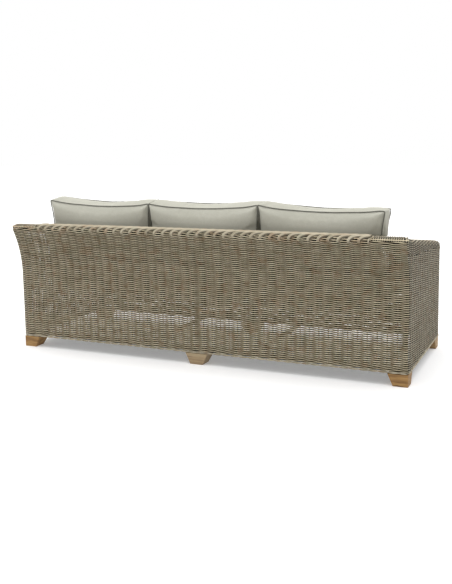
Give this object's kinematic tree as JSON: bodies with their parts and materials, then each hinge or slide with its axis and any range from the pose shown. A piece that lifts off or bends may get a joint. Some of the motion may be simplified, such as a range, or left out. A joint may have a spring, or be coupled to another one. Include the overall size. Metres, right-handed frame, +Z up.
{
  "type": "rattan garden sofa",
  "caption": "Woven rattan garden sofa with a raked back, sloping arms, an open tube frame, tapered hardwood feet and loose box cushions.",
  "frame": {"origin": "on the floor, at the middle of the overall width and depth", "axes": "+X to the sitter's left, +Y to the back, +Z up"},
  "size_m": [2.2, 0.898, 0.8454],
  "materials": {
    "weave": "round synthetic rattan strand, weathered grey-brown, streaky",
    "border": "plaited synthetic rattan, slightly lighter",
    "frame_tube": "powder-coated dark brown tube",
    "teak": "oiled hardwood, straight grain",
    "bolt_steel": "zinc-plated",
    "seat_fabric": "plain woven outdoor fabric, pale warm grey",
    "back_fabric": "plain woven outdoor fabric, pale warm grey"
  },
  "bodies": {
    "sofa_frame": {"back_outer_weave": "weave", "back_inner_weave": "weave", "front_apron_weave": "weave", "seat_deck_weave": "weave", "left_arm_outer_weave": "weave", "left_arm_inner_weave": "weave", "left_arm_cap_weave": "weave", "right_arm_outer_weave": "weave", "right_arm_inner_weave": "weave", "right_arm_cap_weave": "weave", "back_top_border": "border", "bottom_border_rear": "border", "bottom_border_front": "border", "bottom_border_left": "border", "bottom_border_right": "border", "back_top_rail": "frame_tube", "back_middle_rail": "frame_tube", "seat_rail_rear": "frame_tube", "seat_rail_front": "frame_tube", "bottom_rail_rear": "frame_tube", "bottom_rail_front": "frame_tube", "rear_post_middle": "frame_tube", "front_post_middle": "frame_tube", "rear_post_left": "frame_tube", "front_post_outer_left": "frame_tube", "front_post_inner_left": "frame_tube", "arm_rail_outer_left": "frame_tube", "arm_rail_inner_left": "frame_tube", "bottom_rail_left": "frame_tube", "bottom_cross_rail_left": "frame_tube", "seat_cross_rail_inner_left": "frame_tube", "seat_cross_rail_outer_left": "frame_tube", "rear_post_right": "frame_tube", "front_post_outer_right": "frame_tube", "front_post_inner_right": "frame_tube", "arm_rail_outer_right": "frame_tube", "arm_rail_inner_right": "frame_tube", "bottom_rail_right": "frame_tube", "bottom_cross_rail_right": "frame_tube", "seat_cross_rail_inner_right": "frame_tube", "seat_cross_rail_outer_right": "frame_tube", "foot_rear_left": "teak", "foot_rear_right": "teak", "foot_rear_middle": "teak", "foot_front_left": "teak", "foot_front_right": "teak", "foot_front_middle": "teak", "foot_bolt_rear_left": "bolt_steel", "foot_bolt_rear_right": "bolt_steel", "foot_bolt_rear_middle": "bolt_steel", "foot_bolt_front_left": "bolt_steel", "foot_bolt_front_right": "bolt_steel", "foot_bolt_front_middle": "bolt_steel"},
    "seat_cushion_left": {"seat_cushion_left": "seat_fabric"},
    "seat_cushion_middle": {"seat_cushion_middle": "seat_fabric"},
    "seat_cushion_right": {"seat_cushion_right": "seat_fabric"},
    "back_cushion_left": {"back_cushion_left": "back_fabric"},
    "back_cushion_middle": {"back_cushion_middle": "back_fabric"},
    "back_cushion_right": {"back_cushion_right": "back_fabric"}
  },
  "joints": [
    {"name": "seat_cushion_left_lift", "type": "slide", "parent": "sofa_frame", "child": "seat_cushion_left", "axis": [0, 0, 1], "range_m": [0, 0.35]},
    {"name": "seat_cushion_middle_lift", "type": "slide", "parent": "sofa_frame", "child": "seat_cushion_middle", "axis": [0, 0, 1], "range_m": [0, 0.35]},
    {"name": "seat_cushion_right_lift", "type": "slide", "parent": "sofa_frame", "child": "seat_cushion_right", "axis": [0, 0, 1], "range_m": [0, 0.35]},
    {"name": "back_cushion_left_lift", "type": "slide", "parent": "sofa_frame", "child": "back_cushion_left", "axis": [0, 0.0698, 0.9976], "range_m": [0, 0.45]},
    {"name": "back_cushion_middle_lift", "type": "slide", "parent": "sofa_frame", "child": "back_cushion_middle", "axis": [0, 0.0698, 0.9976], "range_m": [0, 0.45]},
    {"name": "back_cushion_right_lift", "type": "slide", "parent": "sofa_frame", "child": "back_cushion_right", "axis": [0, 0.0698, 0.9976], "range_m": [0, 0.45]}
  ]
}
